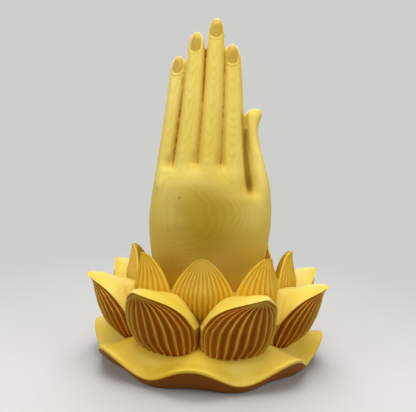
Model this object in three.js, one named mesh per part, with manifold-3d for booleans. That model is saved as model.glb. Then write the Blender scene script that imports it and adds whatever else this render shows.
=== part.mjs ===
// A carved boxwood ornament: an open left hand standing upright in a lotus of two petal rings,
// on a wavy lotus leaf. Millimetres, +Z up. The origin is where the lotus axis meets the flat
// underside. The back of the hand faces -Y and its thumb is on the +X side.

import * as THREE from 'three';
import { mergeVertices } from 'three/addons/utils/BufferGeometryUtils.js';
import Module from 'manifold-3d';

const wasm = await Module();
wasm.setup();

// Overall layout
const gap = 0.3;                       // glue line between touching pieces
const petalCount = 8;                  // petals in each ring
const lotusTurn = -7.1;                // the lotus is turned a little to the hand, degrees
const firstInnerPetal = 270 + lotusTurn;
const firstOuterPetal = firstInnerPetal + 180 / petalCount;
const wedgeHalfAngle = 22.2;           // just under half of a petal's share of the circle
const hubTop = 21;                     // top of the leaf's raised hub
const innerSeat = 30;                  // height at which the inner petals stand
const coreTop = 40;                    // top of the core around the wrist
const wristSeat = 34.3;                // bottom of the wrist, in its socket
const outerFlat = 36;                  // back of an outer petal, from the axis
const innerFlat = 38;                  // back of an inner petal's root, from the axis

// Lotus leaf: its profile swings between a crest under each gap of the outer petals and a trough
// under each outer petal, [crest radius, height, trough radius, height, share of the offset]
const leafSteps = 8;                   // steps of each wave
const leafOffset = [-0.5, 4];          // the rim is carved a little off the lotus axis
const leafProfile = [
  [0, 0, 0, 0, 0],
  [50, 0, 54, 0, 1],
  [57.5, 3.5, 58.5, 1, 1],
  [67.5, 13.1, 62.2, 4.3, 1],
  [69.5, 15, 63, 6, 1],
  [68.5, 16.7, 61.8, 7.6, 1],
  [60, 16.6, 57, 10.2, 0.6],
  [52, 18, 52.4, 14, 0],
  [46, 20.6, 46, 17.4, 0],
  [40, hubTop, 40, hubTop, 0],
  [0, hubTop, 0, hubTop, 0],
];

// Core and dowel
const spigotRadius = 20;
const spigotDepth = 3;
const spigotSides = 36;
const dowelRadius = 5;
const dowelBottom = 8;
const dowelTop = 56;

// Outer petal: stations from the root to the tip
const outerSpine = [[48, 13], [59.3, 22.5], [64, 31], [65.8, 35.6], [67.4, 40.4], [68.4, 44.3],
  [70.2, 48.2], [71.8, 50.4]];         // middle of the fluted face, [radius, height]
const outerRim = [[14.5, 46, 13], [18, 47, 22.5], [19, 50.7, 31], [18, 53.6, 35.6], [16, 57.4, 40.4],
  [12, 61.6, 44.3], [5, 68.2, 48.2], [0, 71.8, 50.4]];               // [half width, radius, height]
const valleyStation = 2;               // from this station up, the rim also bounds the smooth top
const hoodRidge = [47, 47.8, 48.9, 50.2, 51];                        // height of the top's middle
const hoodBack = [[44.5, 45.5], [outerFlat, 43]];                    // [radius, middle height]
const tipLean = [5, 0, 0, 0, 0, 0, 0, -2.5];      // the two front petals' tips lean apart
const leanFoot = [31, 44.5];           // up to this height and out to this radius nothing leans
const leanHead = [50.4, 60];
const outerFlutes = 12;
const outerFluteDepth = [1.3, 1.6, 1.7, 1.6, 1.3, 0.9, 0.4];

// Inner petal: stations from the root to the tip
const innerSpine = [[43, 30], [45.6, 33], [50.2, 39.5], [51.6, 46], [50.4, 52], [49.3, 57.5], [48.7, 61.5],
  [48.6, 63.8], [48.6, 64.5]];
const innerRim = [[15.4, 38.6, 30], [15.8, 39.2, 33], [16, 39.7, 39.5], [16, 40, 46], [13.2, 41.2, 52],
  [9.3, 42.8, 57.5], [5.6, 44.8, 61.5], [3, 46.8, 63.8], [0, 48.6, 64.5]];
const innerThickness = [5, 5, 4.6, 4.2, 3.8, 3.2, 2.4, 1.6, 0];
const innerLip = 1.2;                  // width of the rim between the fluted face and the back
const innerFlutes = 12;
const innerFluteDepth = [0, 0.9, 1.1, 1.1, 1, 0.6, 0, 0, 0];
const keel = 1.25;                     // the inner petals' middle is a soft keel, 1 would be sharp
const reachTop = 56;                   // above this the inner petals are clear of the outer ones
const reachDepth = 6;                  // how far behind the outer petals' flats that cut goes on
const plainSteps = 8;                  // steps across a smooth row of either petal

// Palm and wrist: outlines going up, [height, left, right, back of hand, palm side]
const palm = [
  [wristSeat, -30, 27.2, -11, 22],
  [coreTop, -30, 27.2, -11, 22],
  [47, -31.7, 29.2, -13.5, 20],
  [54, -34, 31, -17, 19],
  [61, -35.4, 32.7, -19.6, 18],
  [69, -36.4, 33.7, -21.5, 17],
  [79, -37, 34.6, -22, 15.5],
  [89, -36.7, 34.7, -20.4, 14],
  [94, -36.2, 33.8, -19, 13],
  [97.5, -35.9, 25.5, -17.6, 12.6],
  [101.5, -35.3, 20.6, -15.9, 12.3],
  [107, -34.6, 19, -13, 12],
  [111, -34, 18.2, -10, 11],
  [113.6, -33, 17.2, -6, 8.4],
  [115, -30, 14, -2, 3.4],
];
const palmPoints = 36;
const mounds = [                       // swellings of the palm side: [height, x, z, reach x, reach z]
  [6.5, 19, 70, 9, 17],                // ball of the thumb
  [4.5, -23, 66, 9, 20],               // heel of the hand
  [-3.5, -2, 86, 11, 15],              // hollow of the palm
  [2, -24, 106, 9, 6],                 // pads below the outer and the inner fingers
  [2, 8, 106, 10, 6],
];

// Fingers, from the little finger to the forefinger; places are [x, y] at the knuckles and the tip
const knuckleHeight = 112;
const knuckleSlope = 0.34;             // below the knuckles the finger backs run out over the palm
const fingerRoot = 99;
const fingers = [
  { knuckle: [-29.1, 0.6], tip: [-23, -1.2], top: 177, width: 5.2, depth: 8.2 },
  { knuckle: [-17, -1.4], tip: [-12.9, -2.6], top: 191, width: 7.6, depth: 9.6 },
  { knuckle: [-3.3, -2], tip: [-1.8, -3], top: 200, width: 7.2, depth: 10.2 },
  { knuckle: [10.5, -1.2], tip: [7.9, -2.4], top: 185, width: 7.6, depth: 9.4 },
];
const fingertipHalfWidth = 4.1;
const fingertipHalfDepth = 4;
const fingertipLength = 9;
const fingerBow = 0.5;
const fingerPoints = 16;
const fingerRings = [0.5, 1.6, 3.6, 6.5, 11, 18, 28, 40, 54];        // distances down from the tip
const lowestRing = 6;                  // no ring is nearer than this to the knuckle
const web = [[106, 0.5], [111, 1.4], [114.5, 3.4], [129, 4.2], [146, 5], [163, 6]];
const webFront = 5;                    // the web's [height, depth below the finger backs], palm side

// Thumb: outlines going up, [height, inner x, outer x, back y, palm y]
const thumb = [
  [66, 14, 31, -10, 16],
  [84, 16.5, 34, -13.4, 15],
  [94, 19, 34.3, -13, 13],
  [102, 20, 33.6, -11.6, 11.6],
  [112, 18.8, 31, -9.6, 10.2],
  [120, 17.8, 28.7, -8.2, 9.4],
  [128, 17, 26.6, -7, 8.6],
  [135.5, 16.6, 25.4, -6, 8],
  [140.5, 16.4, 26.4, -5.2, 7.6],
  [144, 17, 27.4, -4.4, 7],
  [146.6, 19.2, 27.3, -2.8, 5.6],
  [148, 21.8, 26.2, -1, 3.8],
];
const thumbPoints = 18;

const radians = THREE.MathUtils.degToRad;
const lerp = THREE.MathUtils.lerp;

// Solids from geometry and back
function toSolid(geometry) {
  const bare = geometry.clone();
  bare.deleteAttribute('normal');
  bare.deleteAttribute('uv');
  const merged = mergeVertices(bare, 1e-4);
  const index = merged.index.array;
  const triangles = [];
  for (let i = 0; i < index.length; i += 3) {
    const [a, b, c] = [index[i], index[i + 1], index[i + 2]];
    if (a !== b && b !== c && c !== a) triangles.push(a, b, c);
  }
  const vertices = new Float32Array(merged.attributes.position.array);
  if (signedVolume(vertices, triangles) < 0) triangles.reverse();
  return new wasm.Manifold(new wasm.Mesh({
    numProp: 3,
    vertProperties: vertices,
    triVerts: new Uint32Array(triangles),
  }));
}

function signedVolume(vertices, triangles) {
  const corner = (i) => new THREE.Vector3().fromArray(vertices, 3 * triangles[i]);
  let volume = 0;
  for (let i = 0; i < triangles.length; i += 3) {
    volume += corner(i).dot(corner(i + 1).cross(corner(i + 2))) / 6;
  }
  return volume;
}

function toGeometry(solid) {
  const mesh = solid.getMesh();
  const geometry = new THREE.BufferGeometry();
  geometry.setAttribute('position', new THREE.BufferAttribute(mesh.vertProperties, 3));
  geometry.setIndex(new THREE.BufferAttribute(mesh.triVerts, 1));
  geometry.computeVertexNormals();
  return geometry;
}

// A skin is sewn from rows of points; neighbouring rows may hold different numbers of points
class Skin {
  corners = [];

  triangle(a, b, c) {
    this.corners.push(...a.toArray(), ...b.toArray(), ...c.toArray());
  }

  strip(lower, upper) {
    let i = 0;
    let j = 0;
    while (i < lower.length - 1 || j < upper.length - 1) {
      const lowerFirst = (i + 1) * (upper.length - 1) <= (j + 1) * (lower.length - 1);
      if (i < lower.length - 1 && lowerFirst) {
        this.triangle(lower[i], lower[i + 1], upper[j]);
        i += 1;
      } else {
        this.triangle(lower[i], upper[j + 1], upper[j]);
        j += 1;
      }
    }
  }

  fan(centre, row) {
    for (let i = 0; i < row.length - 1; i += 1) this.triangle(centre, row[i], row[i + 1]);
  }

  geometry() {
    const geometry = new THREE.BufferGeometry();
    geometry.setAttribute('position', new THREE.Float32BufferAttribute(this.corners, 3));
    return mergeVertices(geometry, 1e-4);
  }
}

// Closed rings joined one above the other, with both ends closed
function loft(rings) {
  const skin = new Skin();
  const closed = rings.map((ring) => [...ring, ring[0]]);
  for (let k = 0; k < closed.length - 1; k += 1) skin.strip(closed[k], closed[k + 1]);
  const middle = (ring) => ring.reduce((sum, p) => sum.add(p), new THREE.Vector3())
    .divideScalar(ring.length);
  skin.fan(middle(rings[0]), [...closed[0]].reverse());
  skin.fan(middle(rings.at(-1)), closed.at(-1));
  return skin.geometry();
}

// A rounded outline between four sides at one height
function roundedRing(height, left, right, back, front, count, squareness = 2.2) {
  const ring = [];
  for (let k = 0; k < count; k += 1) {
    const angle = (2 * Math.PI * k) / count;
    const across = Math.sign(Math.cos(angle)) * Math.abs(Math.cos(angle)) ** (2 / squareness);
    const deep = Math.sign(Math.sin(angle)) * Math.abs(Math.sin(angle)) ** (2 / squareness);
    const x = (left + right) / 2 + (across * (right - left)) / 2;
    const y = (back + front) / 2 + (deep * (front - back)) / 2;
    ring.push(new THREE.Vector3(x, y, height));
  }
  return ring;
}

// Hand
function palmSwelling(x, z) {
  let swelling = 0;
  for (const [height, atX, atZ, reachX, reachZ] of mounds) {
    swelling += height * Math.exp(-(((x - atX) / reachX) ** 2) - ((z - atZ) / reachZ) ** 2);
  }
  return swelling;
}

function palmRing([height, left, right, back, front]) {
  const ring = roundedRing(height, left, right, back, front, palmPoints);
  const middle = (back + front) / 2;
  for (const point of ring) {
    const facing = Math.max(0, (point.y - middle) / (front - middle));
    point.y += facing * palmSwelling(point.x, point.z);
  }
  return ring;
}

// Middle, back and half width of a finger at a distance down from its tip
function fingerSection({ knuckle, tip, top, width, depth }, distance) {
  const height = top - distance;
  const length = top - knuckleHeight;
  const along = distance / length;
  const upward = 1 - along;
  const bow = 4 * fingerBow * along * Math.max(0, upward);
  const rounding = (1 - (1 - Math.min(distance / fingertipLength, 1)) ** 2.2) ** 0.55;
  const grown = Math.min(along, 1) ** 0.7;
  const halfWidth = lerp(fingertipHalfWidth, width, grown) * rounding;
  const halfDepth = lerp(fingertipHalfDepth, depth, grown) * rounding;
  const x = lerp(tip[0], knuckle[0], along) + bow;
  const y = lerp(tip[1], knuckle[1], along);
  const back = y - halfDepth - knuckleSlope * Math.max(0, knuckleHeight - height);
  return { height, x, halfWidth, back, front: y + halfDepth };
}

function fingerRing(finger, distance) {
  const { height, x, halfWidth, back, front } = fingerSection(finger, distance);
  return roundedRing(height, x - halfWidth, x + halfWidth, back, front, fingerPoints);
}

// The web keeps the grooves between the fingers shallow, deeper towards the tips
function webRing([height, depth]) {
  const sections = fingers.map((finger) => fingerSection(finger, finger.top - height));
  const floor = sections.slice(1).map((right, k) => {
    const left = sections[k];
    const x = (left.x + left.halfWidth + right.x - right.halfWidth) / 2;
    return new THREE.Vector3(x, (left.back + right.back) / 2 + depth, height);
  });
  const [first, last] = [sections[0], sections.at(-1)].map(({ x, front }) => (
    new THREE.Vector3(x, front - webFront, height)
  ));
  return [first, ...floor, last];
}

function makeHand() {
  let solid = toSolid(loft(palm.map(palmRing)));
  for (const finger of fingers) {
    const distances = [finger.top - fingerRoot, finger.top - knuckleHeight];
    distances.push(...fingerRings.filter((d) => d < distances[1] - lowestRing).reverse());
    solid = solid.add(toSolid(loft(distances.map((d) => fingerRing(finger, d)))));
  }
  solid = solid.add(toSolid(loft(web.map(webRing))));
  const thumbRings = thumb.map((sides) => roundedRing(...sides, thumbPoints));
  solid = solid.add(toSolid(loft(thumbRings)));
  return solid.subtract(toSolid(rod(dowelRadius + gap, wristSeat - 1, dowelTop + gap)));
}

function rod(radius, bottom, top, sides = 24) {
  const geometry = new THREE.CylinderGeometry(radius, radius, top - bottom, sides);
  geometry.rotateX(Math.PI / 2);
  geometry.translate(0, 0, (bottom + top) / 2);
  return geometry;
}

// Leaf: a lathe whose profile swings between the crest and the trough of its waves
function makeLeafBody(firstCrest, [offsetX, offsetY], lift) {
  const steps = petalCount * leafSteps;
  const profile = leafProfile.map(([radius, height]) => new THREE.Vector2(radius, height));
  const geometry = new THREE.LatheGeometry(profile, steps);
  const position = geometry.attributes.position;
  for (let i = 0; i < position.count; i += 1) {
    const angle = (2 * Math.PI * (Math.floor(i / profile.length) % steps)) / steps;
    const trough = (1 - Math.cos(petalCount * angle)) / 2;
    const [crestRadius, crestHeight, troughRadius, troughHeight, share] = leafProfile[i % profile.length];
    const radius = lerp(crestRadius, troughRadius, trough);
    const turned = angle + radians(firstCrest);
    const x = radius * Math.cos(turned) + share * offsetX;
    const y = radius * Math.sin(turned) + share * offsetY;
    position.setXYZ(i, x, y, lerp(crestHeight, troughHeight, trough) + lift);
  }
  return toSolid(geometry);
}

function makeLeaf() {
  const recess = rod(spigotRadius + gap, hubTop - spigotDepth, hubTop + 1, spigotSides);
  const hole = rod(dowelRadius + gap, dowelBottom, hubTop + 1);
  return makeLeafBody(firstInnerPetal, leafOffset, 0).subtract(toSolid(recess)).subtract(toSolid(hole));
}

// Core: two eight-sided blocks whose flats carry the outer and the inner petals
function octagon(flat, bottom, top, turn) {
  const cornerRadius = flat / Math.cos(Math.PI / petalCount);
  const geometry = rod(cornerRadius, bottom, top, petalCount);
  geometry.rotateZ(radians(turn) + Math.PI / petalCount - Math.PI / 2);
  return toSolid(geometry);
}

function makeCore() {
  const waist = innerSeat - gap;
  const lower = octagon(outerFlat - gap, hubTop + gap, waist, firstOuterPetal);
  const upper = octagon(innerFlat - gap, waist, coreTop, firstInnerPetal);
  const spigot = toSolid(rod(spigotRadius, hubTop + gap - spigotDepth, hubTop + gap + 1, spigotSides));
  const [, left, right, back, front] = palm[0];
  const sides = [left - gap, right + gap, back - gap, front + gap];
  const socketHeights = [wristSeat - gap, coreTop + 1];
  const socket = toSolid(loft(socketHeights.map((height) => palmRing([height, ...sides]))));
  const hole = toSolid(rod(dowelRadius + gap, dowelBottom, coreTop));
  return lower.add(upper).add(spigot).subtract(socket).subtract(hole);
}

// Sections of the petals, from -1 at one rim to 1 at the other: [share of the width, of the bulge]
const roundSection = (s) => [Math.sin((s * Math.PI) / 2), Math.cos((s * Math.PI) / 2)];
const keelSection = (s) => [s, 1 - Math.abs(s) ** keel];

// Petal rows, in the petal's own frame: x outwards, y across, z up
function petalRow(section, [halfWidth, rimRadius, rimHeight], [spineRadius, spineHeight], flutes, depth) {
  if (halfWidth === 0) return [new THREE.Vector3(spineRadius, 0, spineHeight)];
  const count = depth > 0 ? 2 * flutes : plainSteps;
  const row = [];
  for (let k = 0; k <= count; k += 1) {
    const [across, out] = section((2 * k) / count - 1);
    const bulge = out * (spineRadius - rimRadius);
    const inGroove = depth > 0 && k % 2 === 1;
    const pull = inGroove ? 1 - depth / Math.hypot(halfWidth * across, bulge) : 1;
    const height = lerp(rimHeight, spineHeight, out);
    row.push(new THREE.Vector3(rimRadius + bulge * pull, halfWidth * across * pull, height));
  }
  return row;
}

// A row across the smooth top: highest in the middle, falling to both edges
function hoodRow(radius, halfWidth, edgeHeight, middleHeight) {
  const row = [];
  for (let k = 0; k <= plainSteps; k += 1) {
    const across = (2 * k) / plainSteps - 1;
    const height = lerp(middleHeight, edgeHeight, across ** 2);
    row.push(new THREE.Vector3(radius, halfWidth * across, height));
  }
  return row;
}

// Behind its rim an outer petal fills its share of the circle
const wedgeHalfWidth = (radius) => radius * Math.tan(radians(wedgeHalfAngle));

function wedgeSides(radius, height) {
  return [-1, 1].map((side) => new THREE.Vector3(radius, side * wedgeHalfWidth(radius), height));
}

function leanSideways(geometry, lean) {
  const points = geometry.attributes.position;
  for (let k = 0; k < points.count; k += 1) {
    const up = THREE.MathUtils.clamp((points.getZ(k) - leanFoot[0]) / (leanHead[0] - leanFoot[0]), 0, 1);
    const out = THREE.MathUtils.smoothstep(points.getX(k), leanFoot[1], leanHead[1]);
    points.setY(k, points.getY(k) + lean * up ** 2 * out);
  }
  return geometry;
}

function makeOuterPetal(lean) {
  const rows = outerRim.map((rim, k) => (
    petalRow(roundSection, rim, outerSpine[k], outerFlutes, outerFluteDepth[k])
  ));
  const hood = [];
  outerRim.forEach(([halfWidth, radius, height], k) => {
    if (k < valleyStation || halfWidth === 0) return;
    hood.unshift(hoodRow(radius, halfWidth, height, hoodRidge[k - valleyStation]));
  });
  const [, , valleyHeight] = outerRim[valleyStation];
  for (const [radius, middleHeight] of hoodBack) {
    hood.push(hoodRow(radius, wedgeHalfWidth(radius), valleyHeight, middleHeight));
  }
  const foot = wedgeSides(outerFlat, outerRim[0][2]);
  const around = [foot, ...rows, ...hood, foot];
  const skin = new Skin();
  for (let k = 0; k < around.length - 1; k += 1) skin.strip(around[k], around[k + 1]);

  // Each side runs from the rim in to the shoulder, and along the neighbour's side to the core
  const low = rows.slice(0, valleyStation + 1);
  const shoulders = low.slice(0, -1).map((_, k) => wedgeSides(hoodBack[0][0], outerRim[k][2]));
  shoulders.push(hood.at(-2));
  const flats = [foot, hood.at(-1)];
  const columns = [low, shoulders, flats];
  for (let k = 0; k < columns.length - 1; k += 1) {
    skin.strip(columns[k].map((row) => row[0]), columns[k + 1].map((row) => row[0]));
    skin.strip(columns[k + 1].map((row) => row.at(-1)), columns[k].map((row) => row.at(-1)));
  }
  skin.triangle(low[0][0], shoulders[0][0], foot[0]);
  skin.triangle(shoulders[0].at(-1), low[0].at(-1), foot.at(-1));
  return toSolid(leanSideways(skin.geometry(), lean));
}

function makeInnerPetal() {
  const rows = innerRim.map((rim, k) => (
    petalRow(keelSection, rim, innerSpine[k], innerFlutes, innerFluteDepth[k])
  ));
  const back = [];
  innerRim.forEach(([halfWidth, radius, height], k) => {
    if (halfWidth === 0) return;
    const thickness = innerThickness[k];
    const lip = Math.min(innerLip, radius - innerFlat);
    const spine = [innerSpine[k][0] - thickness, height];
    back.unshift(petalRow(keelSection, [halfWidth - innerLip / 2, radius - lip, height], spine, 0, 0));
  });
  const around = [...rows, ...back, rows[0]];
  const skin = new Skin();
  for (let k = 0; k < around.length - 1; k += 1) skin.strip(around[k], around[k + 1]);
  const downBack = [rows.at(-1), ...back];
  const upFront = [...rows].reverse();
  skin.strip(downBack.map((row) => row[0]), upFront.map((row) => row[0]));
  skin.strip(upFront.map((row) => row.at(-1)), downBack.map((row) => row.at(-1)));
  return toSolid(skin.geometry());
}

// The space that an inner petal and what is behind it take from the outer petals
function innerReach(azimuth) {
  const stations = innerRim.filter(([, , height]) => height < reachTop);
  const rings = stations.map(([halfWidth, radius, height], k) => {
    const wide = halfWidth + 3 * gap;
    const z = k === 0 ? height - gap : height;
    const row = petalRow(keelSection, [wide, radius + gap, z], [innerSpine[k][0] + gap, z], 0, 0);
    const corners = [wide, -wide].map((y) => new THREE.Vector3(outerFlat - reachDepth, y, z));
    return [...row, ...corners];
  });
  const geometry = loft(rings);
  geometry.rotateZ(radians(azimuth));
  return toSolid(geometry);
}

// Assembly
const boxwood = { color: 0xdcb344, roughness: 0.42, metalness: 0 };
const shadedBoxwood = { color: 0xcfa038, roughness: 0.5, metalness: 0 };
const paleWood = { color: 0xe2cf9a, roughness: 0.65, metalness: 0 };

function piece(name, solid, finish) {
  const mesh = new THREE.Mesh(toGeometry(solid), new THREE.MeshStandardMaterial(finish));
  mesh.name = name;
  return mesh;
}

const ornament = new THREE.Group();
ornament.add(piece('leaf_base', makeLeaf(), shadedBoxwood));
ornament.add(piece('lotus_core', makeCore(), shadedBoxwood));
ornament.add(piece('hand', makeHand(), boxwood));
ornament.add(piece('hand_dowel', toSolid(rod(dowelRadius, dowelBottom + gap, dowelTop)), paleWood));

const step = 360 / petalCount;
const innerPetal = makeInnerPetal();
for (let k = 0; k < petalCount; k += 1) {
  const inner = piece(`inner_petal_${k + 1}`, innerPetal, boxwood);
  inner.rotation.z = radians(firstInnerPetal + k * step);
  const outerPetal = makeOuterPetal(tipLean[k])
    .subtract(innerReach(-step / 2))
    .subtract(innerReach(step / 2))
    .subtract(makeLeafBody(step / 2, [0, 0], gap));
  const outer = piece(`outer_petal_${k + 1}`, outerPetal, boxwood);
  outer.rotation.z = radians(firstOuterPetal + k * step);
  ornament.add(inner, outer);
}

export default ornament;
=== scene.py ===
"""A carved boxwood ornament for Blender: an open left hand standing in a lotus on a wavy leaf.

The file is laid out as an add-on, with sizes and colours in property groups and one operator for
each piece or group of like pieces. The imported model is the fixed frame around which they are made.
Sizes in the tables below are millimetres, in the frame's own place: +Z is up, and the back of the
hand faces -Y with the thumb on the +X side.
"""

import math

import bmesh
import bpy
from bpy.props import FloatProperty, FloatVectorProperty, IntProperty, PointerProperty
from mathutils import Matrix, Vector, noise


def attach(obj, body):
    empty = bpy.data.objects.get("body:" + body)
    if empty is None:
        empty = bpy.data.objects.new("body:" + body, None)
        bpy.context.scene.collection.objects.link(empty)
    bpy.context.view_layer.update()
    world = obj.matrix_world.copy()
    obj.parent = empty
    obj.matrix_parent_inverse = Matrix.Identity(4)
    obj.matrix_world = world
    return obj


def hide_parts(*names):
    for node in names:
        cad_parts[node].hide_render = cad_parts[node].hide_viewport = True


bl_info = {
    "name": "Carved Lotus Hand",
    "version": (1, 0, 0),
    "blender": (4, 5, 0),
    "location": "View3D > Sidebar > Lotus Hand",
    "description": "Builds a carved boxwood hand in a lotus, one operator for each group of pieces",
    "category": "Add Mesh",
}

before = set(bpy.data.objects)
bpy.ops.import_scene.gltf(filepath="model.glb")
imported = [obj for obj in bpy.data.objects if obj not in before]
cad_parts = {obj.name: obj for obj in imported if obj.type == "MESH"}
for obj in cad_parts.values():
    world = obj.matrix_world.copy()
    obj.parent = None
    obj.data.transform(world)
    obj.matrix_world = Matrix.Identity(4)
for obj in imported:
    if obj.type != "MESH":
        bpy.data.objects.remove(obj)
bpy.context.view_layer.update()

MM = 0.001
PETALS = 8
STEP = 2 * math.pi / PETALS
LOTUS_TURN = math.radians(-7.1)
FIRST_INNER = 1.5 * math.pi + LOTUS_TURN
FIRST_OUTER = FIRST_INNER + STEP / 2
HUB_TOP = 21.0
OUTER_FLAT = 36.0                           # radius at which each ring of petals meets the core
INNER_FLAT = 38.0

# Distance within which the corners of two sheets are sewn together
SEAM = 0.01
PETAL_SEAM = 0.02

# Lotus leaf, from the middle of the underside out, round the rim and back over the top:
# crest radius, height, trough radius, height, share of the rim's offset
LEAF_PROFILE = [
    (0, 0, 0, 0, 0),
    (25, 0, 27, 0, 0.5),
    (50, 0, 54, 0, 1),
    (57.5, 3.5, 58.5, 1, 1),
    (67.3, 13.1, 62.2, 4.3, 1),
    (68.9, 15, 63, 6, 1),
    (68.2, 16.7, 61.8, 7.6, 1),
    (60, 16.6, 57, 10.2, 0.6),
    (52, 18, 52.4, 14, 0),
    (46, 20.6, 46, 17.4, 0),
    (40, HUB_TOP, 40, HUB_TOP, 0),
    (0, HUB_TOP, 0, HUB_TOP, 0),
]
LEAF_OFFSET = (-0.5, 4.0)
LEAF_FACES = (32, 96)                       # faces round each wave, and along the profile
LEAF_SHADE = 0.9                            # painted shade under the leaf's rim
LEAF_SHADE_IN = (0.13, 0.2)                 # shares of the profile over which that shade comes
LEAF_SHADE_OUT = (0.47, 0.41)               # and goes

# Outer petal, stations from the root to the tip: the middle of the fluted face (radius, height)
# and its rim (half width, radius, height)
OUTER_SPINE = [(48, 13), (59.3, 22.5), (64, 31), (65.8, 35.6), (67.4, 40.4), (68.4, 44.3),
               (70.2, 48.2), (71.65, 50.4)]
OUTER_RIM = [(14.5, 46, 13), (18, 47, 22.5), (19, 50.7, 31), (18, 53.6, 35.6), (16, 57.4, 40.4),
             (12, 61.6, 44.3), (5, 68.2, 48.2), (0, 71.65, 50.4)]
OUTER_SPANS = len(OUTER_RIM) - 1
OUTER_VALLEY = 2                            # the station where two neighbours part
VALLEY = OUTER_VALLEY / OUTER_SPANS
VALLEY_RIM = OUTER_RIM[OUTER_VALLEY]
OUTER_RIDGE = [47, 47.8, 48.9, 50.2, 51, 50.4]      # height of the top, from the valley to the tip
OUTER_BACK = [47, 45.5, 43]                 # and behind the valley: at the rim, shoulder and core
OUTER_SHOULDER = 44.5
WEDGE = math.tan(math.radians(22.2))
OUTER_TIP = (0.07, 1.3)                     # the tip closes over this share, from this half width
TOP_POWER = 2.4                             # 1 is a straight roof, more is a rounder top
SHELF_ROWS = 16
LIP_SOFTENING = 5

# Marks on an outer petal. A pair of places is where a mark comes in and where it is full
OUTER_DEPTH = [2.2, 1.8, 1.8, 1.7, 1.5, 1.0, 0.2, 0]        # of the flutes, at each station
FLUTE_POWER = 3                             # 2 is a round flute, more is a flatter one
LIP_RISE = (0.2, 0.8)                       # shares of the petal's height
LIP_EDGE = (0, 0.6)                         # distances from the lip
STEP_ROOM = (0, 0.08)                       # shares of the face from a lip to the middle, at the tip
FLUTE_ROOM = (0, 0.35)
UNCUT_REACH = 0.5                           # no mark is cut where the belly is smaller than this
# Painted shade: some on the crests, more in the flutes, a painted shadow under the lip, and painted shade
# at the root
CREST_SHADE = 0.22
FLUTE_SHADE = 0.85                          # painted shade in a flute, more than on a crest
LIP_SHADE = 0.6
LIP_SHADE_REACH = (3, 0.5)                  # distances from the lip over which the painted shadow under it comes
ROOT_SHADE = 0.4
ROOT_SHADE_REACH = (22, 13)                 # heights over which the painted shade at the root comes
SIDE_SHADE = (0.9, 0.5)                     # painted shade at the foot and at the head of a side wall
TIP_LEAN = [5, 0, 0, 0, 0, 0, 0, -2.5]      # the two front petals' tips lean apart
LEAN_FOOT = (31, OUTER_SHOULDER)            # up to this height and out to this radius nothing leans
LEAN_HEAD = (50.4, 60)

# Inner petal, the same way, with its thickness in the middle
INNER_SPINE = [(43, 30), (45.6, 33), (50.2, 39.5), (51.6, 46), (50.4, 52), (49.3, 57.5),
               (48.7, 61.5), (48.6, 63.8), (48.6, 64.5)]
INNER_RIM = [(15.4, 38.6, 30), (15.8, 39.2, 33), (16, 39.7, 39.5), (16, 40, 46), (13.2, 41.2, 52),
             (9.3, 42.8, 57.5), (5.6, 44.8, 61.5), (3, 46.8, 63.8), (0, 48.6, 64.5)]
INNER_THICKNESS = [5, 5, 4.6, 4.2, 3.8, 3.2, 2.4, 1.6, 0.6]
INNER_TIP = 0.03                            # the tip closes over this share
INNER_BACK_POWER = 1.6
INNER_BEVEL = 0.3
FRONT_SHARE = 0.62                          # of the faces round a petal, on its ribbed side

# Marks on an inner petal, with pairs of places as above
INNER_DEPTH = [0, 0.8, 1.0, 1.0, 0.95, 0.75, 0.25, 0, 0]    # of the grooves, at each station
RIB_POWER = 1.8                             # 1 is an even wave, more makes broader ribs
RIB_EDGE = (0, 0.08)                        # shares of the face from the plain rim
RIM_EDGE = (0, 0.03)
RIM_TIP = (0.01, 0.07)                      # shares of the height below the tip
RIM_NARROW = 2.5                            # the rim keeps its share of the face below this half width
RIB_CLOSING = 0.25                          # share of a groove's depth that draws it sideways
RIB_SHADE = 0.18                            # painted shade over the whole ribbed face

# Palm and wrist, going up: height, left, right, back of the hand, palm side
PALM = [
    (34.3, -30, 27.2, -11, 22),
    (40, -30, 27.2, -11, 22),
    (47, -31.7, 29.2, -13.5, 20),
    (54, -34, 31, -17, 19),
    (61, -35.4, 32.7, -19.6, 18),
    (69, -36.4, 33.7, -21.5, 17),
    (79, -37, 34.6, -22, 15.5),
    (89, -36.7, 34.7, -20.4, 14),
    (94, -36.2, 33.8, -19, 13),
    (97.5, -35.9, 25.5, -17.6, 12.6),
    (101.5, -35.3, 20.6, -15.9, 12.3),
    (107, -34.6, 19, -13, 11.2),
    (111, -34, 18.2, -10, 9.6),
    (113.6, -33, 17.2, -6, 7.2),
    (115, -30, 14, -2, 3),
]

# Mounds of the palm side: swell, x, height, reach across, reach up
MOUNDS = [
    (6.5, 19, 70, 9, 17),
    (4.5, -23, 66, 9, 20),
    (-3.5, -2, 86, 11, 15),
    (2, -24, 106, 9, 6),
    (2, 8, 106, 10, 6),
]
KNUCKLE = 112.0                             # heights of the knuckles and of the fingers' hidden ends
FINGER_ROOT = 99.0
KNUCKLE_SLOPE = 0.34                        # how fast a finger's back runs out below its knuckle
SQUARENESS = 2.2                            # of every outline of the hand: 2 is an ellipse

# Fingers from the little finger on: place at the knuckle and at the tip, top, half width and
# half depth, then the nail: middle and height of its lower end, half width, roll in degrees
FINGERS = [
    ((-29.1, 0.6), (-23, -1.2), 177, 5.2, 8.2, (-24.0, 165.2, 2.8, -16)),
    ((-17, -1.4), (-12.9, -2.6), 191, 7.6, 9.6, (-13.9, 177.5, 3.05, -8)),
    ((-3.3, -2), (-1.8, -3), 199.4, 7.2, 10.2, (-2.1, 186.2, 3.7, 0)),
    ((10.5, -1.2), (7.9, -2.4), 185, 7.6, 9.4, (8.1, 171.8, 3.3, 2)),
]
TIP_HALF_WIDTH = 4.1
TIP_HALF_DEPTH = 4.0
TIP_LENGTH = 9.0
TIP_ROUNDING = (2.2, 0.55)                  # powers of the round that closes a fingertip
FINGER_TAPER = 0.7                          # 1 is an even taper, less keeps it full up to the tip
FINGER_BOW = 0.5
FINGER_CROWDING = 1.7                       # how much its rows of faces crowd towards the tip

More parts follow.
